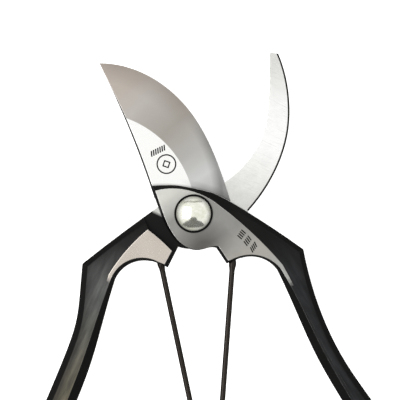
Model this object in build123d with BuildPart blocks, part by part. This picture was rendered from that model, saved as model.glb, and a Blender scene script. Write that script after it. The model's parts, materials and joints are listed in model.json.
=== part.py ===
from build123d import *
from math import acos, atan2, cos, degrees, hypot, radians, sin, sqrt
import os

os.makedirs("parts", exist_ok=True)

# A pair of forged bypass pruning shears, about 200 mm long when shut, standing open.
# Millimetres, +Z up.  The pivot axis is the Z axis and z = 0 is the flat end of the bolt,
# the plane that the tool lies on.  Each half is drawn shut, with its stop face on the line
# x = 0 and its blade along +Y, and is then turned about the pivot to the open position.
OPEN_ANGLE = 58.0                      # between the halves, from shut to fully open
HALF_TURN = OPEN_ANGLE / 2

# heights through the tool
BOTTOM = 5.1                           # underside of the lower plate and of both handles
MIDDLE = 9.6                           # the shearing plane
TOP = 14.1                             # upper side of the upper plate and of both handles
RUBBING_GAP = 0.1                      # between the two halves at the shearing plane
HOOK_TOP = MIDDLE - RUBBING_GAP / 2
BLADE_BOTTOM = MIDDLE + RUBBING_GAP / 2
BLADE_TOP = 12.6                       # flat of the blade, a step below the boss
HOOK_BOTTOM = 5.9                      # underside of the hook, a step above the lower boss
EDGE_LAND = 0.15                       # thickness of the cutting edge itself

# handle section: a vertical wall, a chamfer up to a ridge, a slope up to the ground flat
WALL_RISE = 1.2                        # half height of the vertical wall
RIDGE_RISE = 3.2                       # height of the outer ridge above the middle
FLAT_RISE = TOP - MIDDLE               # height of the ground flat above the middle
INNER_SHARE = (RIDGE_RISE - WALL_RISE) / (FLAT_RISE - WALL_RISE)

BLADE_CHAMFER = 2.0                    # width of the outer chamfer of the right handle
HANDLE_CHAMFER = 2.3                   # and of the left one
HOOK_CHAMFER = 0.7                     # along the back of the hook

# a half is at its full thickness only below its shoulder, clear of the other half's disc
SHOULDER_R = 15.2
SHOULDER_END = (7.6, -sqrt(SHOULDER_R ** 2 - 7.6 ** 2))
BLADE_SHOULDER = [(16.9, -11.6), (60.0, -9.0)]      # on from that arc, past the outer side
HOOK_SHOULDER = [(-1.3, -15.6), (-6.9, -13.6), (-12.4, -12.2)]
HOOK_WALL = [(-18.6, -6.4), (-60.0, 30.0)]          # on from there, past the outer side
CLEAR_BACK = 30.0                                   # beyond the tool on the stop side
CLEAR_END = 80.0                                    # beyond the tips

# cutting blade: its outline from the boss up the spine, round the tip and down the edge
BLADE_SPINE = [(-8.75, 12.5), (-2.8, 37.9)]         # an arc, ending at the tip
SPINE_BEVEL = 0.65                     # width of the steep ground face along the spine
BLADE_TIP = (1.3, 64.3)
BLADE_EDGE = [(11.5, 54.3), (18.0, 39.7), (19.4, 28.4), (18.0, 13.8), (13.7, -3.6)]
BLADE_ROOT = [(9.0, -6.0), (-5.0, 4.0)]             # buried in the boss

# blade grind: circle of the cutting edge and circle where the bevel meets the flat
EDGE_CENTRE = (-33.75, 25.82)
EDGE_R = 53.4
GRIND_CENTRE = (-31.81, 19.29)
GRIND_R = 37.89

# hook, from its root to its tip along the back, and from tip to root along the inside
HOOK_BACK = [(17.6, 9.0), (20.5, 26.7), (18.6, 41.7), (14.4, 51.7), (8.3, 60.7), (3.7, 65.5)]
HOOK_INSIDE = [(0.8, 64.6), (5.3, 54.6), (9.5, 43.9), (11.0, 34.0), (9.4, 23.8), (4.4, 13.0)]
HOOK_ROOT = [(2.0, 6.0), (12.0, 4.0)]               # buried in the lower plate

# pivot
BOLT_R = 4.0
BOLT_CHAMFER = 0.4
BORE_R = 4.05
HEAD_R = 6.25
HEAD_RISE = 3.0
HEAD_RIM = 0.3
HEAD_SPHERE_R = (HEAD_R ** 2 + (HEAD_RISE - HEAD_RIM) ** 2) / (2 * (HEAD_RISE - HEAD_RIM))
WASHER_R = 6.95
WASHER_T = 0.6
WASHER_Z = TOP + RUBBING_GAP
NUT_ACROSS = 13.0
NUT_Z = 0.8
NUT_T = 3.2
NUT_CHAMFER = 0.5
LOCK_R = 8.6
LOCK_TEETH = 12
LOCK_TOOTH_R = 0.7
LOCK_T = 0.8
LOCK_GAP = 0.05
LOCK_Z = BOTTOM - LOCK_T - LOCK_GAP

# spring, one length of wire: two legs and a coil
WIRE_R = 1.0
COIL_R = 5.0                           # to the middle of the wire
COIL_PITCH = 2.2
COIL_CENTRE = (-0.6, -73.8)
COIL_TURNS = 2                         # full turns, besides the part turn between the legs
LEFT_TIP = (-13.6, -13.9)              # end of the left leg, in its pocket
RIGHT_TIP = (13.2, -15.9)              # end of the right leg, in its pocket
LEG_GAP = 0.3                          # between each leg and the coil, one wire on the tool
POCKET_R = 1.6                         # half width of the pockets, room for the wire to swing
POCKET_LENGTH = 9.0
LEFT_SWING = -37.0                     # how far the left leg turns in its pocket on shutting
RIGHT_SWING = 38.0
SWING_STEPS = 4

# wire catch at the ends of the handles
CATCH_WIRE_R = 1.0
CATCH_HOLE_R = 1.1
CATCH_PIVOT = (-12.6, -124.0)          # in the hook half as drawn shut
CATCH_NOTCH = (15.6, -125.0)           # middle of the cross bar when it locks the blade half
CATCH_NOTCH_R = 1.25
CATCH_STOWED = 112.0                   # direction of the catch laid back along the handle
CATCH_REACH = hypot(CATCH_NOTCH[0] - CATCH_PIVOT[0], CATCH_NOTCH[1] - CATCH_PIVOT[1])
CATCH_LIFT = 1.6                       # from the faces of the handle to the middle of its arms
CATCH_BEND = 2.0
CATCH_STUB = 3.0                       # length of wire inside each end of the hole


def half_frame(turn):
    """Plane of one half, turned about the pivot."""
    return Plane(origin=(0, 0, 0), x_dir=(cos(radians(turn)), sin(radians(turn)), 0),
                 z_dir=(0, 0, 1))


BLADE = half_frame(HALF_TURN)
HOOK = half_frame(-HALF_TURN)
HOOK_OUTWARD = Axis((0, 0, 0), HOOK.x_dir)          # towards the back of the hook


def flipped(points, side):
    """The hook half is drawn as a mirror image, like the blade half."""
    return [(side * x, y) for x, y in points]


# Outlines of the two halves, one vertex letter after another around the half:
# S spine end of the wall between blade and boss, H heel, C outer corner, E and I the handle
# end, J and K the two ends of the finger curve, T stop tip, U top of the stop, V spine.
BLADE_SIDE = dict(
    S=(-7.2, 17.6), wall=[(3.6, 10.9), (7.6, 6.0)],
    H=(13.2, -3.2), shank=[(19.6, -16.8)],
    C=(26.1, -32.6), lower=[(22.2, -43.2), (18.4, -57.9), (16.5, -74.0), (17.0, -97.0), (16.4, -118.0)],
    E=(12.6, -134.0), end=[(9.4, -135.9)],
    I=(6.4, -133.6), inner=[(7.2, -112.0), (7.7, -90.0), (9.2, -65.0), (11.7, -49.5)],
    J=(14.1, -33.8), finger=[(11.6, -26.95)],
    K=(3.6, -22.5), toe=[], T=(0.05, -21.7), stop=[],
    U=(0.05, -14.9), disc=[(-1.6, -13.6), (-5.4, -12.2), (-9.3, -8.3), (-10.95, -1.8), (-10.2, 5.5)],
    V=(-8.55, 12.8), back=[])
BLADE_FLAT = dict(
    S=(-6.95, 14.4), wall=[(1.7, 9.3), (7.3, 2.1)],
    H=(9.5, -3.2), shank=[(13.8, -17.8)],
    C=(16.5, -33.0), lower=[(15.6, -43.2), (13.8, -57.9), (12.3, -74.0), (11.5, -97.0), (10.9, -118.0)],
    E=(10.3, -130.4), end=[(9.9, -130.9)],
    I=(9.5, -130.4), inner=[(10.0, -112.0), (10.6, -90.0), (12.1, -65.0), (14.1, -49.5)],
    J=(15.4, -33.8), finger=[(12.2, -26.4)],
    K=(3.9, -21.6), toe=[], T=(1.15, -21.1), stop=[],
    U=(1.1, -14.7), disc=[(-1.2, -13.4), (-5.2, -11.9), (-8.9, -8.1), (-10.15, -1.8), (-9.2, 5.5)],
    V=(-7.5, 12.3), back=[])
HOOK_SIDE = dict(
    S=(-17.6, 8.9), wall=[(-9.0, 12.6), (2.0, 10.5)],
    H=(12.6, -3.0), shank=[(19.8, -15.8)],
    C=(29.0, -33.3), lower=[(25.2, -43.8), (22.4, -53.0), (21.0, -65.0), (20.2, -88.0), (18.6, -114.0)],
    E=(14.0, -133.6), end=[(10.6, -135.6)],
    I=(7.4, -133.2), inner=[(9.3, -112.0), (9.9, -88.0), (11.2, -64.5), (13.7, -48.4)],
    J=(15.9, -33.6), finger=[(13.2, -26.0)],
    K=(4.3, -21.85), toe=[], T=(0.3, -21.6), stop=[],
    U=(0.05, -13.3), disc=[(-5.2, -11.7), (-9.8, -8.0), (-13.2, -2.0), (-16.0, 4.0)],
    V=(-16.9, 6.6), back=[])
HOOK_FLAT = dict(
    S=(-16.8, 8.3), wall=[(-9.5, 11.4), (-0.5, 9.3)],
    H=(8.2, -4.4), shank=[(14.6, -17.0)],
    C=(18.4, -32.6), lower=[(17.2, -43.8), (16.3, -53.0), (15.1, -65.0), (13.9, -88.0), (13.3, -114.0)],
    E=(11.7, -130.2), end=[(11.2, -130.8)],
    I=(10.7, -130.2), inner=[(12.4, -112.0), (13.0, -88.0), (14.2, -64.5), (15.9, -48.4)],
    J=(17.3, -33.6), finger=[(14.1, -25.0)],
    K=(4.3, -21.1), toe=[], T=(1.9, -21.0), stop=[],
    U=(1.4, -13.5), disc=[(-5.0, -11.3), (-9.4, -7.7), (-12.7, -2.0), (-15.4, 4.0)],
    V=(-16.3, 6.4), back=[])
ORDER = [("S", "wall"), ("H", "shank"), ("C", "lower"), ("E", "end"), ("I", "inner"),
         ("J", "finger"), ("K", "toe"), ("T", "stop"), ("U", "disc"), ("V", "back")]


def ridge(side_line, flat_line, chamfer):
    """Outline at the height of the outer ridge: the wall, inner and disc sides run straight
    from the side outline to the flat outline, the outer side is set in by the chamfer."""
    mid = {}
    for name, value in side_line.items():
        single = isinstance(value, tuple)
        pairs = zip([value] if single else value, [flat_line[name]] if single else flat_line[name])
        if name in ("shank", "C", "lower"):
            moved = [(a[0] - chamfer, a[1]) for a, b in pairs]
        elif name in ("E", "end"):
            moved = [((a[0] + b[0]) / 2, (a[1] + b[1]) / 2) for a, b in pairs]
        else:
            moved = [(a[0] + (b[0] - a[0]) * INNER_SHARE, a[1] + (b[1] - a[1]) * INNER_SHARE)
                     for a, b in pairs]
        mid[name] = moved[0] if single else moved
    return mid


def face_of(frame, height, line, side):
    """Face enclosed by one outline, at a height."""
    with BuildSketch(frame.offset(height)) as sketch:
        with BuildLine():
            for i, (corner, edge) in enumerate(ORDER):
                after = ORDER[(i + 1) % len(ORDER)][0]
                points = flipped([line[corner]] + line[edge] + [line[after]], side)
                if len(points) == 2:
                    Line(*points)
                elif len(points) == 3:
                    ThreePointArc(*points)
                else:
                    Spline(*points)
        make_face()
    return sketch.sketch


def faces_up(frame, side_line, flat_line, chamfer, side, way):
    """The three outlines of a half from its wall to its flat; way is 1 up or -1 down."""
    mid = ridge(side_line, flat_line, chamfer)
    return [face_of(frame, MIDDLE + way * WALL_RISE, side_line, side),
            face_of(frame, MIDDLE + way * RIDGE_RISE, mid, side),
            face_of(frame, MIDDLE + way * FLAT_RISE, flat_line, side)]


def tangent_angle(tip, side):
    """Where the coil meets a leg that comes straight from its tip: side 1 left, -1 right."""
    dx = tip[0] - COIL_CENTRE[0]
    dy = tip[1] - COIL_CENTRE[1]
    return degrees(atan2(dy, dx)) + side * degrees(acos(COIL_R / hypot(dx, dy)))


LEFT_START = tangent_angle(LEFT_TIP, 1)
RIGHT_END = tangent_angle(RIGHT_TIP, -1)
COIL_SWEEP = (RIGHT_END - LEFT_START) % 360 + 360 * COIL_TURNS
COIL_HEIGHT = COIL_PITCH * COIL_SWEEP / 360


def coil_point(angle):
    """Point on the middle line of the coil at an angle, at the height of its nearer end."""
    near = -1 if angle == LEFT_START else 1
    return (COIL_CENTRE[0] + COIL_R * cos(radians(angle)),
            COIL_CENTRE[1] + COIL_R * sin(radians(angle)), MIDDLE + near * COIL_HEIGHT / 2)


LEFT_FOOT = coil_point(LEFT_START)
RIGHT_FOOT = coil_point(RIGHT_END)


def leg_heading(tip, foot):
    """Direction of a leg from its tip, in the open tool, in degrees."""
    return degrees(atan2(foot[1] - tip[1], foot[0] - tip[0]))


LEFT_HEADING = leg_heading(LEFT_TIP, LEFT_FOOT)
RIGHT_HEADING = leg_heading(RIGHT_TIP, RIGHT_FOOT)


def grip_of(frame, side_line, flat_line, chamfer, side):
    """Boss, shank and handle of one half at their full thickness."""
    with BuildPart(mode=Mode.PRIVATE) as grip:
        extrude(face_of(frame, MIDDLE - WALL_RISE, side_line, side), amount=2 * WALL_RISE)
        loft(sections=faces_up(frame, side_line, flat_line, chamfer, side, 1), ruled=True)
        loft(sections=faces_up(frame, side_line, flat_line, chamfer, side, -1), ruled=True)
    return grip.part


def blade_outline(height, inset):
    """Cutting blade seen from above, with the end that is buried in the boss and the spine
    set in."""
    spine = [(x + inset, y) for x, y in BLADE_SPINE]
    with BuildSketch(BLADE.offset(height)) as outline:
        with BuildLine():
            ThreePointArc(*spine, BLADE_TIP)
            Spline(BLADE_TIP, *BLADE_EDGE)
            Polyline(BLADE_EDGE[-1], *BLADE_ROOT, spine[0])
        make_face()
    return outline.sketch


def pocket(tip, heading, swing):
    """Slot in which one end of the spring sits and swings."""
    with BuildPart(mode=Mode.PRIVATE) as slot:
        for step in range(SWING_STEPS + 1):
            angle = radians(heading + swing * step / SWING_STEPS)
            along = Plane(origin=(tip[0], tip[1], MIDDLE - POCKET_R), x_dir=(cos(angle), sin(angle), 0),
                          z_dir=(0, 0, 1))
            with BuildSketch(along):
                Circle(POCKET_R)
                Rectangle(POCKET_LENGTH, 2 * POCKET_R, align=(Align.MIN, Align.CENTER))
            extrude(amount=2 * POCKET_R)
    return slot.part


# ---- blade half: cutting blade, upper boss plate and right handle --------------------------
with BuildPart() as blade_half:
    # the blade, with a bevel that is a slanting cone from the cutting edge up to the flat
    loft(sections=[blade_outline(BLADE_BOTTOM, 0), blade_outline(BLADE_TOP, SPINE_BEVEL)], ruled=True)
    with BuildSketch(BLADE.offset(BLADE_BOTTOM + EDGE_LAND)):
        with Locations(EDGE_CENTRE):
            Circle(EDGE_R)
    with BuildSketch(BLADE.offset(BLADE_TOP)):
        with Locations(GRIND_CENTRE):
            Circle(GRIND_R)
    loft(mode=Mode.INTERSECT)
    extrude(blade_outline(BLADE_BOTTOM, 0), amount=EDGE_LAND)
    # the handle, with the layer of the other half taken out above its shoulder
    add(grip_of(BLADE, BLADE_SIDE, BLADE_FLAT, BLADE_CHAMFER, 1))
    with BuildSketch(BLADE):
        with BuildLine():
            Polyline((0, -SHOULDER_R), (-CLEAR_BACK, -SHOULDER_R), (-CLEAR_BACK, CLEAR_END),
                     (BLADE_SHOULDER[-1][0], CLEAR_END), *reversed(BLADE_SHOULDER), SHOULDER_END)
            RadiusArc(SHOULDER_END, (0, -SHOULDER_R), SHOULDER_R)
        make_face()
    extrude(amount=BLADE_BOTTOM, mode=Mode.SUBTRACT)
    # bore on the bolt, notch for the catch, pocket for the spring
    with BuildSketch(BLADE):
        Circle(BORE_R)
        with Locations(CATCH_NOTCH):
            Circle(CATCH_NOTCH_R)
    extrude(amount=2 * TOP, mode=Mode.SUBTRACT)
    add(pocket(RIGHT_TIP, RIGHT_HEADING, RIGHT_SWING), mode=Mode.SUBTRACT)
blade_half.part.label = "blade_half"
export_step(blade_half.part, "parts/blade_half.step")

# ---- hook half: hooked counter blade, lower boss plate and left handle ---------------------
with BuildPart() as hook_half:
    with BuildSketch(HOOK.offset(HOOK_BOTTOM)):
        with BuildLine():
            Spline(HOOK_BACK)
            Line(HOOK_BACK[-1], HOOK_INSIDE[0])
            Spline(HOOK_INSIDE)
            Polyline(HOOK_INSIDE[-1], *HOOK_ROOT, HOOK_BACK[0])
        make_face()
    extrude(amount=HOOK_TOP - HOOK_BOTTOM)
    back_edge = hook_half.edges().filter_by(GeomType.BSPLINE).sort_by(HOOK_OUTWARD)[-2:]
    chamfer(back_edge, HOOK_CHAMFER)
    add(grip_of(HOOK, HOOK_SIDE, HOOK_FLAT, HANDLE_CHAMFER, -1))
    with BuildSketch(HOOK.offset(HOOK_TOP)):
        with BuildLine():
            ThreePointArc(*HOOK_SHOULDER)
            Polyline(HOOK_SHOULDER[-1], *HOOK_WALL, (HOOK_WALL[-1][0], CLEAR_END), (CLEAR_BACK, CLEAR_END),
                     (CLEAR_BACK, HOOK_SHOULDER[0][1]), HOOK_SHOULDER[0])
        make_face()
    extrude(amount=TOP, mode=Mode.SUBTRACT)
    with BuildSketch(HOOK):
        Circle(BORE_R)
        with Locations(CATCH_PIVOT):
            Circle(CATCH_HOLE_R)
    extrude(amount=2 * TOP, mode=Mode.SUBTRACT)
    add(pocket(LEFT_TIP, LEFT_HEADING, LEFT_SWING), mode=Mode.SUBTRACT)
hook_half.part.label = "hook_half"
export_step(hook_half.part, "parts/hook_half.step")

# ---- pivot: domed bolt, black washer under its head, lock washer and nut -------------------
HEAD_Z = WASHER_Z + WASHER_T
HEAD_HALF = HEAD_R / 2
HEAD_HALF_Z = HEAD_Z + HEAD_RISE - HEAD_SPHERE_R + sqrt(HEAD_SPHERE_R ** 2 - HEAD_HALF ** 2)
with BuildPart() as pivot_bolt:
    with BuildSketch():
        Circle(BOLT_R - BOLT_CHAMFER)
    with BuildSketch(Plane.XY.offset(BOLT_CHAMFER)):
        Circle(BOLT_R)
    loft()
    with BuildSketch(Plane.XY.offset(BOLT_CHAMFER)):
        Circle(BOLT_R)
    extrude(amount=HEAD_Z - BOLT_CHAMFER)
    with BuildSketch(Plane.XZ):
        with BuildLine():
            Line((0, HEAD_Z), (HEAD_R, HEAD_Z))
            Line((HEAD_R, HEAD_Z), (HEAD_R, HEAD_Z + HEAD_RIM))
            ThreePointArc((HEAD_R, HEAD_Z + HEAD_RIM), (HEAD_HALF, HEAD_HALF_Z),
                          (0, HEAD_Z + HEAD_RISE))
            Line((0, HEAD_Z + HEAD_RISE), (0, HEAD_Z))
        make_face()
    revolve(axis=Axis.Z)
pivot_bolt.part.label = "pivot_bolt"
export_step(pivot_bolt.part, "parts/pivot_bolt.step")

with BuildPart() as head_washer:
    with BuildSketch(Plane.XY.offset(WASHER_Z)):
        Circle(WASHER_R)
        Circle(BORE_R, mode=Mode.SUBTRACT)
    extrude(amount=WASHER_T)
head_washer.part.label = "head_washer"
export_step(head_washer.part, "parts/head_washer.step")

with BuildPart() as lock_washer:
    with BuildSketch(Plane.XY.offset(LOCK_Z)):
        Circle(LOCK_R)
        with PolarLocations(LOCK_R, LOCK_TEETH):
            Circle(LOCK_TOOTH_R, mode=Mode.SUBTRACT)
        Circle(BORE_R, mode=Mode.SUBTRACT)
    extrude(amount=LOCK_T)
lock_washer.part.label = "lock_washer"
export_step(lock_washer.part, "parts/lock_washer.step")

with BuildPart() as pivot_nut:
    with BuildSketch(Plane.XY.offset(NUT_Z)):
        RegularPolygon(NUT_ACROSS / 2, 6, major_radius=False)
        Circle(BORE_R, mode=Mode.SUBTRACT)
    extrude(amount=NUT_T)
    chamfer(pivot_nut.edges().group_by(Axis.Z)[0].filter_by(GeomType.LINE), NUT_CHAMFER)
pivot_nut.part.label = "pivot_nut"
export_step(pivot_nut.part, "parts/pivot_nut.step")


# ---- spring: two legs and a coil, one length of wire ---------------------------------------
def leg(name, tip, foot):
    """Straight leg of the spring, from its pocket to just short of the coil."""
    start = Vector(tip[0], tip[1], MIDDLE)
    way = Vector(*foot) - start
    with BuildPart() as wire:
        with BuildSketch(Plane(origin=start, z_dir=way)):
            Circle(WIRE_R)
        extrude(amount=way.length - LEG_GAP)
    wire.part.label = name
    export_step(wire.part, "parts/" + name + ".step")
    return wire.part


spring_leg_left = leg("spring_leg_left", LEFT_TIP, LEFT_FOOT)
spring_leg_right = leg("spring_leg_right", RIGHT_TIP, RIGHT_FOOT)

COIL_BASE = Location((COIL_CENTRE[0], COIL_CENTRE[1], MIDDLE - COIL_HEIGHT / 2))
with BuildPart() as spring_coil:
    turns = Helix(COIL_PITCH, COIL_HEIGHT, COIL_R, mode=Mode.PRIVATE).rotate(Axis.Z, LEFT_START)
    turns = turns.moved(COIL_BASE)
    with BuildSketch(Plane(origin=turns @ 0, z_dir=turns % 0)):
        Circle(WIRE_R)
    sweep(path=turns, is_frenet=True)
spring_coil.part.label = "spring_coil"
export_step(spring_coil.part, "parts/spring_coil.step")

# ---- catch: a loop of wire hinged in the end of the left handle ----------------------------
CATCH_SPOT = HOOK.from_local_coords(Vector(CATCH_PIVOT[0], CATCH_PIVOT[1], 0))
CATCH_TURN = radians(CATCH_STOWED - HALF_TURN)
CATCH_FRAME = Plane(origin=CATCH_SPOT, x_dir=(cos(CATCH_TURN), sin(CATCH_TURN), 0),
                    z_dir=(sin(CATCH_TURN), -cos(CATCH_TURN), 0))
with BuildPart() as wire_catch:
    with BuildLine(CATCH_FRAME) as loop:
        FilletPolyline((0, TOP - CATCH_STUB), (0, TOP + CATCH_LIFT), (CATCH_REACH, TOP + CATCH_LIFT),
                       (CATCH_REACH, BOTTOM - CATCH_LIFT), (0, BOTTOM - CATCH_LIFT),
                       (0, BOTTOM + CATCH_STUB), radius=CATCH_BEND)
    with BuildSketch(Plane(origin=loop.line @ 0, z_dir=loop.line % 0)):
        Circle(CATCH_WIRE_R)
    sweep()
wire_catch.part.label = "wire_catch"
export_step(wire_catch.part, "parts/wire_catch.step")
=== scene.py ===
import json
from math import acos, asin, atan2, cos, hypot, radians, sin, tau
import bmesh
import bpy
from mathutils import Euler, Matrix, Vector


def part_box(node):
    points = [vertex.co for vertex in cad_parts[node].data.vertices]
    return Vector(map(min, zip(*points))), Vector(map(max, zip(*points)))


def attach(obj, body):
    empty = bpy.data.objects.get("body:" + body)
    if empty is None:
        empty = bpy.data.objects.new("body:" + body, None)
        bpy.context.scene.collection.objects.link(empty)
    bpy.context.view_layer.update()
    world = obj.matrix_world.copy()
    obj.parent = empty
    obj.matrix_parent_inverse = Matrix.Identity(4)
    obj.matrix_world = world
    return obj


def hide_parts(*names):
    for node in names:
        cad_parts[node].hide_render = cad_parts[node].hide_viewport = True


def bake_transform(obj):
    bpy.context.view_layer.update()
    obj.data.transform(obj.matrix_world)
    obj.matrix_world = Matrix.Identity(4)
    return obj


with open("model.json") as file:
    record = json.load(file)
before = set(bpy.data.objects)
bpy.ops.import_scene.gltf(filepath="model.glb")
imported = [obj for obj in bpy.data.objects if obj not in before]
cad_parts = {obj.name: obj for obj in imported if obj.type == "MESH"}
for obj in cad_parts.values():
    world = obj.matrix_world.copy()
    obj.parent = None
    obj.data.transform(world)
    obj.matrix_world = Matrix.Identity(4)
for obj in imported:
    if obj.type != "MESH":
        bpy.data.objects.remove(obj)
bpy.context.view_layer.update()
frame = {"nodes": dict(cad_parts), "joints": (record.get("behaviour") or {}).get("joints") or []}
scene = bpy.context.scene
nodes = frame["nodes"]

MM = 0.001
TURN = radians(29)                       # each half, from shut to open
VIEW_TURN = radians(-4.3)                # the camera, about the upright

# millimetres; heights are as in the frame, and places in plan are on a half drawn shut
BOTTOM, MIDDLE, TOP = 5.1, 9.6, 14.1     # of the handles
BLADE_TOP, BLADE_BOTTOM = 12.6, 9.65
HOOK_TOP = 9.55
SLACK = 0.04                             # how near a height a surface has to be
PIVOT = (0.0, 0.0)
WALL_CENTRE, WALL_R = (-30.55, -27.29), 49.75   # arc of the wall between blade and boss
EDGE_CENTRE, EDGE_R = (-33.75, 25.82), 53.4     # arc of the cutting edge
BOSS_LOW = (-4.0, -13.0)                 # middle of the painted shade on the boss
BLADE_DISC_R, HOOK_DISC_R = 14.3, 14.9   # where the two halves rub on each other
DOME_R = 9.3                             # sphere of the bolt head, for its reflections


# ---- studio --------------------------------------------------------------------------------
def camera():
    """Straight above the tool, turned a little, with a long lens."""
    distance = 0.70
    view_width = 0.144
    over = (0.00267, 0.00471)
    data = bpy.data.cameras.new("camera")
    data.sensor_width = 36
    data.lens = data.sensor_width * distance / view_width
    data.clip_start = 0.01
    eye = bpy.data.objects.new("camera", data)
    eye.location = (*over, distance + TOP * MM)
    eye.rotation_euler = Euler((0, 0, VIEW_TURN))
    scene.collection.objects.link(eye)
    scene.camera = eye


def aim(obj, spot, target):
    """Puts an object at a spot, looking at the target."""
    obj.location = spot
    obj.rotation_mode = "QUATERNION"
    obj.rotation_quaternion = (Vector(target) - Vector(spot)).to_track_quat("-Z", "Y")


def area_light(name, spot, size, watts):
    """Soft white panel light pointing at the tool."""
    data = bpy.data.lights.new(name, "AREA")
    data.shape = "RECTANGLE"
    data.size, data.size_y = size
    data.energy = watts
    panel = bpy.data.objects.new(name, data)
    aim(panel, spot, (0, 0, 0.01))
    panel.visible_camera = False
    scene.collection.objects.link(panel)


def mirror_spot(x, y, distance):
    """The point of the room, at a distance in metres, that the domed bolt shows at x, y from
    its middle as the camera sees it."""
    tilt = asin(hypot(x, y) / DOME_R)
    around = atan2(y, x) + VIEW_TURN
    out = sin(2 * tilt)
    return Vector((out * cos(around), out * sin(around), cos(2 * tilt))) * distance


def dark_shapes():
    """A dark shape and a dark bar that only reflections see, drawn as the bolt shows them."""
    card_distance = 0.75
    figure = [(-4.6, -4.3), (-3.0, -3.1), (-1.8, -2.5), (-1.0, -1.5), (0.8, -1.3), (1.6, -2.6),
              (3.0, -3.0), (4.4, -4.4), (0.0, -5.4)]
    bar = [(-3.8, 4.0), (0.0, 4.2), (3.4, 4.3), (3.4, 4.9), (0.0, 4.7), (-3.8, 4.5)]
    for name, outline, grey in (("figure", figure, 0.01), ("bar", bar, 0.12)):
        bm = bmesh.new()
        bm.faces.new([bm.verts.new(mirror_spot(x, y, card_distance)) for x, y in outline])
        bmesh.ops.triangulate(bm, faces=bm.faces)
        mesh = bpy.data.meshes.new(name)
        bm.to_mesh(mesh)
        bm.free()
        card = bpy.data.objects.new(name, mesh)
        card.visible_camera = False
        card.visible_diffuse = False
        card.visible_shadow = False
        scene.collection.objects.link(card)
        cloth = bpy.data.materials.new(name)
        cloth.use_nodes = True
        shader = cloth.node_tree.nodes["Principled BSDF"]
        shader.inputs["Base Color"].default_value = (grey, grey, grey * 0.9, 1)
        shader.inputs["Roughness"].default_value = 1.0
        mesh.materials.append(cloth)


def studio():
    """Bright overhead room light that falls off towards the horizon, one large soft panel
    leaning in from the left, two dark shapes to reflect, and a plain pale floor that polished
    steel doesn't show."""
    world = bpy.data.worlds.new("studio")
    scene.world = world
    world.use_nodes = True
    tree = world.node_tree
    sky = tree.nodes["Background"]
    sky.inputs["Color"].default_value = (1.0, 0.998, 0.99, 1)
    way = tree.nodes.new("ShaderNodeTexCoord")
    split = tree.nodes.new("ShaderNodeSeparateXYZ")
    climb = tree.nodes.new("ShaderNodeMapRange")
    climb.inputs["From Min"].default_value = -0.02
    climb.inputs["From Max"].default_value = 0.42
    climb.inputs["To Min"].default_value = 0.2
    climb.inputs["To Max"].default_value = 0.93
    tree.links.new(way.outputs["Generated"], split.inputs["Vector"])
    tree.links.new(split.outputs["Z"], climb.inputs["Value"])
    tree.links.new(climb.outputs["Result"], sky.inputs["Strength"])

    bm = bmesh.new()
    bmesh.ops.create_grid(bm, x_segments=2, y_segments=2, size=3.0)
    mesh = bpy.data.meshes.new("floor")
    bm.to_mesh(mesh)
    bm.free()
    floor = bpy.data.objects.new("floor", mesh)
    scene.collection.objects.link(floor)
    floor.visible_glossy = False
    paper = bpy.data.materials.new("floor_paper")
    paper.use_nodes = True
    shader = paper.node_tree.nodes["Principled BSDF"]
    shader.inputs["Base Color"].default_value = (0.90, 0.90, 0.89, 1)
    shader.inputs["Roughness"].default_value = 0.9
    shader.inputs["Emission Color"].default_value = (1, 1, 1, 1)
    shader.inputs["Emission Strength"].default_value = 0.8
    mesh.materials.append(paper)

    area_light("left_panel", (-0.55, 0.11, 0.83), (1.0, 0.72), 5.0)
    dark_shapes()
    scene.view_settings.view_transform = "Standard"


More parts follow.
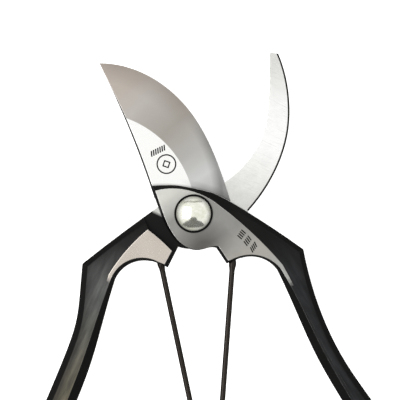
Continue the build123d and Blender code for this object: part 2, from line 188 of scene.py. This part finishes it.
# ---- materials -----------------------------------------------------------------------------
class Graph:
    """The nodes of one material, with short calls for the few kinds used here."""

    def __init__(self, name):
        self.material = bpy.data.materials.new(name)
        self.material.use_nodes = True
        self.tree = self.material.node_tree
        self.shader = self.tree.nodes["Principled BSDF"]

    def node(self, kind, inputs=(), output=0, **settings):
        made = self.tree.nodes.new("ShaderNode" + kind)
        for key, value in settings.items():
            setattr(made, key, value)
        for key, value in dict(inputs).items():
            self.put(made.inputs[key], value)
        return made.outputs[output]

    def put(self, socket, value):
        """Links a socket to another, or sets its constant."""
        if isinstance(value, bpy.types.NodeSocket):
            self.tree.links.new(value, socket)
        elif isinstance(value, tuple) and len(value) == 3 and socket.type == "RGBA":
            socket.default_value = (*value, 1)
        else:
            socket.default_value = value

    def math(self, operation, a, b=0.0):
        return self.node("Math", {0: a, 1: b}, operation=operation)

    def above(self, value, edge, soft):
        """0 below edge, 1 above edge + soft."""
        return self.node("MapRange", {"Value": value, "From Min": edge, "From Max": edge + soft})

    def below(self, value, edge, soft):
        """1 below edge, 0 above edge + soft."""
        return self.no(self.above(value, edge, soft))

    def both(self, *masks):
        made = masks[0]
        for mask in masks[1:]:
            made = self.math("MULTIPLY", made, mask)
        return made

    def either(self, *masks):
        made = masks[0]
        for mask in masks[1:]:
            made = self.math("MAXIMUM", made, mask)
        return made

    def no(self, mask):
        return self.math("SUBTRACT", 1.0, mask)

    def blend(self, mask, a, b):
        """Colour a where the mask is 0, b where it is 1."""
        return self.node("Mix", {0: mask, 6: a, 7: b}, output=2, data_type="RGBA")

    def ramp(self, value, stops):
        """Colour that runs through the stops, each a value and its colour."""
        low, high = stops[0][0], stops[-1][0]
        share = self.node("MapRange", {"Value": value, "From Min": low, "From Max": high})
        made = self.tree.nodes.new("ShaderNodeValToRGB")
        self.tree.links.new(share, made.inputs[0])
        points = made.color_ramp.elements
        while len(points) < len(stops):
            points.new(0.5)
        for point, (at, colour) in zip(points, stops):
            point.position = (at - low) / (high - low)
            point.color = (*colour, 1)
        return made.outputs[0]

    def scaled(self, colour, factor):
        """Colour times a number."""
        return self.node("VectorMath", {0: colour, 3: factor}, operation="SCALE")

    def level(self, mask, a, b):
        """Number a where the mask is 0, b where it is 1."""
        return self.node("MapRange", {"Value": mask, "To Min": a, "To Max": b})

    def between(self, mask, a, b):
        """As level, where a and b can be sockets too."""
        return self.node("Mix", {0: mask, 2: a, 3: b})

    def shifted(self, value, mask, reach):
        """The value less the reach where the mask is 0, and plus the reach where it is 1."""
        return self.math("ADD", value, self.level(mask, -reach, reach))

    def noise(self, where, scale, detail=2.0, rough=0.5):
        return self.node("TexNoise", {"Vector": where, "Scale": scale, "Detail": detail,
                                      "Roughness": rough})

    def stretched(self, where, turn, factors):
        """Coordinates turned about Z and scaled unevenly, for grain that runs one way."""
        return self.node("Mapping", {"Vector": where, "Rotation": (0, 0, turn), "Scale": factors})

    def bump(self, height, strength, distance, normal=None):
        """A normal disturbed by a height, on top of the surface's own or a given one."""
        inputs = {"Height": height, "Strength": strength, "Distance": distance}
        if normal is not None:
            inputs["Normal"] = normal
        return self.node("Bump", inputs)

    def finish(self, **sockets):
        """Sets or links the shader's sockets and returns the material."""
        for name, value in sockets.items():
            self.put(self.shader.inputs[name.replace("_", " ")], value)
        return self.material


def drawn_place(g, turn, side):
    """Coordinates of a half as drawn shut, in millimetres: u, v, height and the vector. The
    hook half is drawn as its mirror image, so its side is -1."""
    place = g.node("TexCoord", output="Object")
    shut = g.node("VectorRotate", {"Vector": place, "Angle": -turn}, rotation_type="Z_AXIS")
    spot = g.node("VectorMath", {0: shut, 1: (side / MM, 1 / MM, 1 / MM)}, operation="MULTIPLY")
    split = g.node("SeparateXYZ", {"Vector": spot}).node
    return (*split.outputs, spot)


def radius_from(g, u, v, centre):
    """Distance in plan from a point."""
    du = g.math("SUBTRACT", u, centre[0])
    dv = g.math("SUBTRACT", v, centre[1])
    return g.math("SQRT", g.math("ADD", g.math("MULTIPLY", du, du), g.math("MULTIPLY", dv, dv)))


def near(g, value, target, width):
    """1 within a width of the target, falling off quickly outside it."""
    off = g.math("ABSOLUTE", g.math("SUBTRACT", value, target))
    return g.below(off, width, width * 0.3)


def off_middle(g, z):
    """How far above or below the middle of the handles."""
    return g.math("ABSOLUTE", g.math("SUBTRACT", z, MIDDLE))


def ground_flats(g, z):
    """Masks of the upper ground face of a half, and of the upper and lower ones together."""
    upper = g.above(z, TOP - SLACK, 0.02)
    lower = g.below(z, BOTTOM + 0.02, 0.02)
    return upper, g.either(upper, lower)


def enamel(g, spot, dust_and_sheen, dull):
    """Black enamel on forged steel: colour, roughness and height. Where the given mask is 1,
    the enamel carries dust and a painted sheen, in the two dull colours."""
    cloud = g.noise(spot, 0.12, 3.0)
    streak = g.noise(g.stretched(spot, 0.0, (1.0, 0.16, 1.0)), 0.55, 4.0, 0.6)
    dust = g.noise(spot, 1.6, 4.0, 0.7)
    fresh = g.blend(cloud, (0.0025, 0.0025, 0.0025), (0.006, 0.0055, 0.005))
    # dust with a painted sheen: streaks in the two dull colours
    dust_and_sheen_colour = g.blend(g.above(streak, 0.3, 0.4), *dull)
    colour = g.blend(dust_and_sheen, fresh, dust_and_sheen_colour)
    specks = g.math("MULTIPLY", g.above(dust, 0.66, 0.15), 0.6)
    colour = g.blend(specks, colour, (0.025, 0.023, 0.02))
    rough = g.level(g.noise(spot, 0.5, 3.0), 0.26, 0.38)
    rough = g.math("ADD", rough, g.math("MULTIPLY", dust_and_sheen, 0.1))
    height = g.math("ADD", g.noise(spot, 0.7, 3.0), g.math("MULTIPLY", dust, 0.2))
    return colour, rough, height


def half_material(name, turn, side, zones):
    """One forged half. zones(g, u, v, z, spot) gives the mask of bare steel, its colour and
    roughness, and where the black enamel round it is dull with dust and a painted sheen, and in which
    two colours."""
    g = Graph(name)
    u, v, z, spot = drawn_place(g, turn, side)
    true_normal = g.node("NewGeometry", output="True Normal")
    upright = g.node("SeparateXYZ", {"Vector": true_normal}, output="Z")
    steep = g.below(g.math("ABSOLUTE", upright), 0.75, 0.05)
    bare, steel_colour, steel_rough, dust_and_sheen, dull = zones(g, u, v, z, spot)
    steel_colour = g.blend(steep, steel_colour, (0.06, 0.058, 0.055))
    paint_colour, paint_rough, paint_height = enamel(g, spot, g.both(dust_and_sheen, g.no(steep)), dull)

    rounded = g.node("Bevel", {"Radius": 0.00022}, samples=6)
    own_normal = g.node("NewGeometry", output="Normal")
    agree = g.node("VectorMath", {0: rounded, 1: own_normal}, operation="DOT_PRODUCT",
                   output="Value")
    # rim: edges that the bevelled normal rounds off
    rim = g.below(agree, 0.94, 0.05)
    grain = g.noise(g.stretched(spot, 0.35, (0.5, 9.0, 1.0)), 2.0, 3.0, 0.6)
    steel_rough = g.shifted(steel_rough, grain, 0.05)
    # painted highlight with some edge wear: bare steel lightened to near white along its rims
    steel_colour = g.blend(rim, steel_colour, (0.86, 0.85, 0.83))
    ridge_wear_and_highlight = g.both(rim, g.above(off_middle(g, z), 3.9, 0.3),
                   g.above(g.noise(spot, 0.4, 3.0), 0.3, 0.3))
    # painted highlight with some edge wear: enamel lighter along its rims, and lighter still on the
    # upper ridges
    paint_colour = g.blend(g.math("MULTIPLY", rim, 0.2), paint_colour, (0.10, 0.10, 0.098))
    paint_colour = g.blend(ridge_wear_and_highlight, paint_colour, (0.14, 0.14, 0.132))

    paint_rough = g.math("ADD", paint_rough, g.level(steep, 0.0, 0.25))
    height = g.between(bare, paint_height, g.math("MULTIPLY", grain, 0.25))
    return g.finish(
        Base_Color=g.blend(bare, paint_colour, steel_colour),
        Metallic=bare,
        Roughness=g.between(bare, paint_rough, steel_rough),
        Normal=g.bump(height, 0.35, 0.00006, rounded),
        Specular_IOR_Level=0.12)


def blade_zones(g, u, v, z, spot):
    """Bare steel of the blade half: the cutting blade, the ground boss and shank that run out
    into the handle, and the rubbing disc underneath. Its paint is dull with dust and a painted sheen,
    in a cool grey."""
    foot = radius_from(g, u, v, WALL_CENTRE)
    blade = g.both(g.above(foot, WALL_R, 0.1), g.below(z, BLADE_TOP + SLACK, 0.02),
                   g.above(v, -4.0, 0.2))
    upper_flat, flats = ground_flats(g, z)
    worn = g.shifted(v, g.noise(spot, 0.35, 2.0), 2.0)
    land = g.both(flats, g.above(worn, -41.0, 3.0))
    disc = g.both(g.below(radius_from(g, u, v, PIVOT), BLADE_DISC_R, 0.1),
                  near(g, z, BLADE_BOTTOM, SLACK))
    bare = g.either(blade, land, disc)

    # bevel: warm grey towards the tip, cool and brighter at the heel, darker along the edge,
    # and painted shade where it meets the wall
    bevel = g.below(z, BLADE_TOP - 0.03, 0.02)
    cloud = g.noise(g.stretched(spot, radians(20), (0.6, 1.6, 1.0)), 0.06, 2.0)
    drift = g.shifted(v, cloud, 5.0)
    grind = g.ramp(drift, [(3.0, (0.50, 0.50, 0.49)), (11.0, (0.66, 0.67, 0.66)),
                           (20.0, (0.50, 0.49, 0.47)), (31.0, (0.40, 0.375, 0.34)),
                           (43.0, (0.50, 0.475, 0.445)), (52.0, (0.47, 0.42, 0.375)),
                           (64.0, (0.44, 0.39, 0.35))])
    inside = g.math("SUBTRACT", EDGE_R, radius_from(g, u, v, EDGE_CENTRE))
    low_edge = g.both(g.below(inside, 0.8, 3.2), g.below(v, 18.0, 14.0))
    grind = g.scaled(grind, g.level(low_edge, 1.0, 0.55))
    upper_edge = g.both(g.below(inside, 0.5, 7.0), g.above(v, 26.0, 10.0))
    browned = g.math("MULTIPLY", upper_edge, g.level(cloud, 0.35, 0.85))
    grind = g.blend(browned, grind, (0.29, 0.25, 0.22))
    # painted shade on the bevel and flat near the wall
    painted_wall_shade = g.both(g.below(foot, WALL_R + 0.45, 2.6), g.above(u, 2.0, 6.0))
    face = g.blend(bevel, (0.98, 0.98, 0.965), grind)
    face = g.scaled(face, g.level(painted_wall_shade, 1.0, 0.62))
    # painted shade: a narrow dark line along the foot of the wall
    face = g.scaled(face, g.level(g.above(foot, WALL_R + 0.05, 0.9), 0.5, 1.0))

    # boss: painted reflection and shade; bright under the wall, darkest at the bottom, and lighter
    # again along the shank
    boss = g.blend(g.above(v, 2.0, 8.0), (0.28, 0.277, 0.262), (0.60, 0.60, 0.56))
    shade = g.below(radius_from(g, u, v, BOSS_LOW), 3.0, 9.0)
    boss = g.blend(shade, boss, (0.12, 0.117, 0.109))
    down = g.math("MULTIPLY", v, -1.0)
    boss = g.blend(g.above(down, 12.0, 11.0), boss, (0.395, 0.38, 0.35))
    boss = g.blend(g.above(down, 26.5, 5.0), boss, (0.41, 0.41, 0.39))
    boss = g.scaled(boss, g.level(g.noise(spot, 0.25, 3.0), 0.9, 1.1))
    colour = g.blend(flats, face, boss)
    rough = g.between(upper_flat, g.level(bevel, 0.2, 0.32), 0.34)
    # the enamel of this grip carries dust and a painted sheen on its broad facets, in a cool grey
    dust_and_sheen = g.both(g.above(off_middle(g, z), 2.6, 1.2), g.above(down, 22.0, 18.0))
    return bare, colour, rough, dust_and_sheen, ((0.009, 0.0095, 0.010), (0.024, 0.025, 0.027))


def hook_zones(g, u, v, z, spot):
    """Bare steel of the hook half: the hook, the ground flat of the shank and the corner of
    the lower plate that the upper one rubs bright."""
    centre_distance = radius_from(g, u, v, PIVOT)
    flats = ground_flats(g, z)[1]
    worn = g.shifted(v, g.noise(spot, 0.35, 2.0), 1.5)
    land = g.both(flats, g.above(worn, -35.5, 2.0))
    rubbed = g.both(near(g, z, HOOK_TOP, SLACK), g.below(centre_distance, HOOK_DISC_R, 0.1),
                    g.above(v, -6.1, 1.2))
    hook = g.above(v, 3.0, 0.3)
    bare = g.either(land, rubbed, hook)

    # hook: painted reflection, brightest half way up, with fine scratches; the ground flat is warmer
    drift = g.shifted(v, g.noise(spot, 0.08, 2.0), 6.0)
    bright = g.ramp(drift, [(4.0, (0.60, 0.60, 0.58)), (13.0, (0.69, 0.69, 0.665)),
                            (22.0, (0.85, 0.855, 0.83)), (36.0, (0.98, 0.98, 0.975)),
                            (50.0, (0.94, 0.94, 0.93)), (58.0, (0.78, 0.785, 0.76)),
                            (66.0, (0.70, 0.70, 0.68))])
    scratch = g.noise(g.stretched(spot, 0.9, (0.12, 9.0, 1.0)), 1.0, 2.0, 0.4)
    scratched = g.math("MULTIPLY", g.above(scratch, 0.64, 0.06), 0.35)
    bright = g.blend(scratched, bright, (0.4, 0.4, 0.39))
    bright = g.scaled(bright, g.level(g.noise(spot, 0.45, 4.0, 0.6), 0.93, 1.10))
    warm = g.blend(g.noise(spot, 0.12, 3.0), (0.53, 0.475, 0.42), (0.62, 0.565, 0.51))
    colour = g.blend(flats, bright, warm)

    # the paint of this grip is rubbed dull, with dust and a painted sheen on its broad facets, cooler
    # at the shoulder and warmer lower down
    down = g.math("MULTIPLY", v, -1.0)
    dust_and_sheen = g.both(g.above(off_middle(g, z), 2.8, 1.3), g.above(down, 21.0, 15.0))
    lower = g.above(down, 42.0, 40.0)
    dull = (g.blend(lower, (0.045, 0.047, 0.045), (0.048, 0.044, 0.032)),
            g.blend(lower, (0.098, 0.101, 0.097), (0.135, 0.120, 0.080)))
    return bare, colour, 0.26, dust_and_sheen, dull


def nickel():
    """Handled nickel with a faint yellow tint, small clouds and fine wiping marks."""
    g = Graph("polished_nickel")
    place = g.node("TexCoord", output="Object")
    smear = g.noise(g.stretched(place, 0.6, (300, 2600, 600)), 1.0, 3.0)
    cloud = g.noise(place, 420.0, 4.0, 0.65)
    colour = g.blend(g.above(cloud, 0.35, 0.3), (0.80, 0.81, 0.68), (0.97, 0.97, 0.90))
    return g.finish(Base_Color=colour, Metallic=0.85, Roughness=g.level(smear, 0.12, 0.19),
                    Normal=g.bump(cloud, 0.25, 0.00012))


def dark_metal(name, low, high, rough, metallic=0.6, scale=900.0, shine=0.5):
    """Blackened steel: spring wire, etched marks, and the washer, whose near black is partly painted
    shade.
    """
    g = Graph(name)
    place = g.node("TexCoord", output="Object")
    cloud = g.noise(place, scale, 4.0)
    return g.finish(Base_Color=g.blend(cloud, low, high), Metallic=metallic,
                    Roughness=g.level(g.noise(place, scale * 2.3, 3.0), rough[0], rough[1]),
                    Normal=g.bump(cloud, 0.25, 0.00004), Specular_IOR_Level=shine)


def bright_metal(name, low, high, rough):
    """Plated or drawn bright steel with fine marks."""
    g = Graph(name)
    place = g.node("TexCoord", output="Object")
    cloud = g.noise(place, 400.0, 4.0)
    mark = g.noise(place, 2600.0, 3.0)
    return g.finish(Base_Color=g.blend(cloud, low, high), Metallic=1.0,
                    Roughness=g.level(mark, rough[0], rough[1]), Normal=g.bump(mark, 0.15, 0.00003))


def wear(obj, material):
    """Gives an object its only material."""
    obj.data.materials.clear()
    obj.data.materials.append(material)


# ---- mesh helpers --------------------------------------------------------------------------
def mesh_object(name, bm, smooth=True):
    """Turns a finished bmesh into an object of the scene."""
    bmesh.ops.recalc_face_normals(bm, faces=bm.faces)
    mesh = bpy.data.meshes.new(name)
    bm.to_mesh(mesh)
    bm.free()
    obj = bpy.data.objects.new(name, mesh)
    scene.collection.objects.link(obj)
    if smooth:
        mesh.shade_smooth()
    return obj


def tube(name, path, radii):
    """Round bar along points in millimetres, closed at both ends."""
    around = 20
    bm = bmesh.new()
    rings = []
    for i, (point, radius) in enumerate(zip(path, radii)):
        ahead = path[min(i + 1, len(path) - 1)] - path[max(i - 1, 0)]
        ahead.normalize()
        side = ahead.cross(Vector((0, 0, 1))).normalized()
        up = side.cross(ahead)
        ring = []
        for k in range(around):
            a = tau * k / around
            ring.append(bm.verts.new((point + (side * cos(a) + up * sin(a)) * radius) * MM))
        rings.append(ring)
    for one, two in zip(rings, rings[1:]):
        for k in range(around):
            bm.faces.new((one[k], one[(k + 1) % around], two[(k + 1) % around], two[k]))
    bm.faces.new(rings[0])
    bm.faces.new(rings[-1])
    return mesh_object(name, bm)


def lathe(name, profile, around):
    """Solid of revolution about Z from (radius, height) points in millimetres."""
    bm = bmesh.new()
    rings = []
    for r, z in profile:
        if r < 1e-6:
            rings.append([bm.verts.new((0, 0, z * MM))])
        else:
            angles = [tau * k / around for k in range(around)]
            rings.append([bm.verts.new((r * cos(a) * MM, r * sin(a) * MM, z * MM)) for a in angles])
    for one, two in zip(rings, rings[1:]):
        for k in range(around):
            n = (k + 1) % around
            if len(one) == 1:
                bm.faces.new((one[0], two[n], two[k]))
            elif len(two) == 1:
                bm.faces.new((one[k], one[n], two[0]))
            else:
                bm.faces.new((one[k], one[n], two[n], two[k]))
    return mesh_object(name, bm)


# ---- spring: one smooth wire ---------------------------------------------------------------
def spring():
    """Both legs and the coil, worked out from the boxes of the CAD nodes. Each leg meets the
    coil on a tangent, and the coil makes its whole turns and the part turn between them."""
    wire = 1.0                  # radius
    tip_inset = 0.15            # from the end of the right leg's box
    whole_turns = 2
    leg_steps, coil_steps = 60, 150
    swelling, swelling_at, swelling_reach = 0.45, 3.4, 2.2
    low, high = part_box("spring_coil")
    centre = (low + high) / 2 / MM
    coil_r = (high.x - low.x) / 2 / MM - wire
    swing = next(joint for joint in frame["joints"] if joint["name"] == "spring_left_swing")
    left_tip = Vector(swing["pos_m"]) / MM
    high_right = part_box("spring_leg_right")[1]
    right_tip = Vector((high_right.x / MM - wire, high_right.y / MM - tip_inset, MIDDLE))

    def meets(tip, side):
        """The angle round the coil at which a tangent from the tip touches it."""
        dx, dy = tip.x - centre.x, tip.y - centre.y
        return atan2(dy, dx) + side * acos(coil_r / hypot(dx, dy))

    start, stop = meets(left_tip, 1), meets(right_tip, -1)
    sweep = (stop - start) % tau + whole_turns * tau
    rise = (high.z - low.z) / MM - 2 * wire
    slope = rise / (sweep * coil_r)

    def leg(tip, angle, foot_z, foot_slope):
        """Points from a level start at the tip to the coil, which they meet at its slope."""
        foot = Vector((centre.x + coil_r * cos(angle), centre.y + coil_r * sin(angle), foot_z))
        length = (foot - tip).length
        points = []
        for i in range(leg_steps + 1):
            t = i / leg_steps
            drop = (3 * t * t - 2 * t ** 3) * (foot_z - tip.z)
            bend = (t ** 3 - t * t) * foot_slope * length
            spot = tip.lerp(foot, t)
            spot.z = tip.z + (drop + bend)
            points.append(spot)
        return points

    left = leg(left_tip, start, centre.z - rise / 2, slope)
    right = leg(right_tip, stop, centre.z + rise / 2, -slope)
    turns = []
    for i in range(coil_steps + 1):
        a = start + sweep * i / coil_steps
        turns.append(Vector((centre.x + coil_r * cos(a), centre.y + coil_r * sin(a),
                             centre.z - rise / 2 + rise * i / coil_steps)))

    def flare(points):
        """Radii along a leg, which swells a little near its tip."""
        radii = []
        for point in points:
            off = abs((point - points[0]).length - swelling_at)
            radii.append(wire + swelling * max(0.0, 1 - off / swelling_reach))
        return radii

    left_leg = tube("left_leg_wire", left, flare(left))
    right_leg = tube("right_leg_wire", right, flare(right))
    coil = tube("coil_wire", turns, [wire] * len(turns))
    steel = dark_metal("spring_wire", (0.010, 0.008, 0.006), (0.034, 0.027, 0.022), (0.22, 0.36),
                       metallic=0.75)
    for piece in (left_leg, right_leg, coil):
        wear(piece, steel)
    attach(left_leg, "spring_left")
    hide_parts("spring_leg_left")
    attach(right_leg, "spring_right")
    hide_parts("spring_leg_right")
    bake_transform(coil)
    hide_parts("spring_coil")


# ---- pivot ---------------------------------------------------------------------------------
def pivot():
    """Domed bolt, with a softly turned rim, and its washer."""
    low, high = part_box("pivot_bolt")
    head_r = (high.x - low.x) / 2 / MM
    crown = high.z / MM
    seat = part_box("head_washer")[1].z / MM
    rim = 0.3                   # height of the rim under the dome
    shank = 4.0                 # radius
    chamfer = 0.4
    steps = 40
    rise = crown - seat - rim
    sphere = (head_r ** 2 + rise ** 2) / (2 * rise)
    profile = [(0, 0), (shank - chamfer, 0), (shank, chamfer), (shank, seat)]
    profile += [(head_r - 0.12, seat), (head_r, seat + 0.1), (head_r, seat + 0.2)]
    edge = atan2(head_r, sphere - rise)
    for i in range(1, steps + 1):
        a = edge * (1 - i / steps)
        profile.append((sphere * sin(a), crown - sphere + sphere * cos(a)))
    profile[-1] = (0, crown)
    bolt = lathe("domed_bolt", profile, 128)
    wear(bolt, nickel())
    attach(bolt, "hook_half")
    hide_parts("pivot_bolt")
    # near black with almost no shine: the washer, also painted dark to stand for the shade round the
    # rim of the bolt head
    black = dark_metal("washer_black_and_shade", (0.001, 0.001, 0.001), (0.004, 0.004, 0.004), (0.5, 0.65),
                       metallic=0.0, shine=0.05)
    wear(nodes["head_washer"], black)


# ---- etched marks --------------------------------------------------------------------------
def marks():
    """Plain etched marks on the blade half: a ring round a diamond with a hatched band over
    it on the blade, and three hatched blocks on the shank."""
    proud = 0.012               # how far they stand over the steel, and reach into it
    slope = 0.38                # radians, of the diamond and the band on the open tool
    stamp = (1.6, 20.3)
    band, band_step = (1.7, 26.0), 0.85
    band_tick, band_lean = (2.1, 0.5), 1.2
    blocks, block_step = (9.2, -16.2), (0.55, -3.1)
    block_tick, tick_step = (2.1, 0.44), (0.75, 0.3)
    bm = bmesh.new()

    def ink(outline, hole, surface):
        """Closed slab between an outline and a hole of as many points, or a filled outline."""
        loops = []
        for points in (outline, hole or []):
            for z in (surface - proud, surface + proud):
                loops.append([bm.verts.new(Vector((x, y, z)) * MM) for x, y in points])
        under, over, hole_under, hole_over = loops
        count = len(outline)
        for i in range(count):
            n = (i + 1) % count
            bm.faces.new((under[i], under[n], over[n], over[i]))
            if hole:
                bm.faces.new((hole_under[n], hole_under[i], hole_over[i], hole_over[n]))
                bm.faces.new((over[i], over[n], hole_over[n], hole_over[i]))
                bm.faces.new((under[n], under[i], hole_under[i], hole_under[n]))
        if not hole:
            bm.faces.new(over)
            bm.faces.new(under[::-1])

    def circle(x, y, radius, count=48, first=0.0):
        """Points evenly round a circle; four of them make a diamond."""
        return [(x + radius * cos(first + tau * i / count), y + radius * sin(first + tau * i / count))
                for i in range(count)]

    def dash(x, y, length, width, angle, surface):
        """Straight tick with its middle at x, y."""
        along = Vector((cos(angle), sin(angle))) * length / 2
        across = Vector((-sin(angle), cos(angle))) * width / 2
        middle = Vector((x, y))
        corners = (middle - along - across, middle + along - across, middle + along + across,
                   middle - along + across)
        ink([tuple(c) for c in corners], None, surface)

    level = slope - TURN
    ink(circle(*stamp, 3.6), circle(*stamp, 3.1), BLADE_TOP)
    ink(circle(*stamp, 1.7, 4, level), circle(*stamp, 1.05, 4, level), BLADE_TOP)
    for k in range(7):
        along = band_step * (k - 3)
        dash(band[0] + along * cos(level), band[1] + along * sin(level), *band_tick,
             level + band_lean, BLADE_TOP)
    for block in range(3):
        lean = radians(-75 - 12 * block)
        for k in range(4):
            x = blocks[0] + block_step[0] * block + tick_step[0] * k
            y = blocks[1] + block_step[1] * block + tick_step[1] * k
            dash(x, y, *block_tick, lean, TOP)
    obj = mesh_object("etched_marks", bm, smooth=False)
    obj.data.transform(Matrix.Rotation(TURN, 4, "Z"))
    black = dark_metal("etching", (0.003, 0.003, 0.003), (0.012, 0.012, 0.011), (0.55, 0.75),
                       metallic=0.0, shine=0.05)
    wear(obj, black)
    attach(obj, "blade_half")


camera()
studio()
wear(nodes["blade_half"], half_material("blade_half_steel", TURN, 1, blade_zones))
wear(nodes["hook_half"], half_material("hook_half_steel", -TURN, -1, hook_zones))
marks()
pivot()
spring()
plated = bright_metal("zinc_plate", (0.50, 0.50, 0.49), (0.62, 0.62, 0.60), (0.25, 0.4))
wear(nodes["lock_washer"], plated)
wear(nodes["pivot_nut"], plated)
drawn = bright_metal("catch_wire", (0.55, 0.55, 0.54), (0.68, 0.68, 0.66), (0.18, 0.3))
wear(nodes["wire_catch"], drawn)
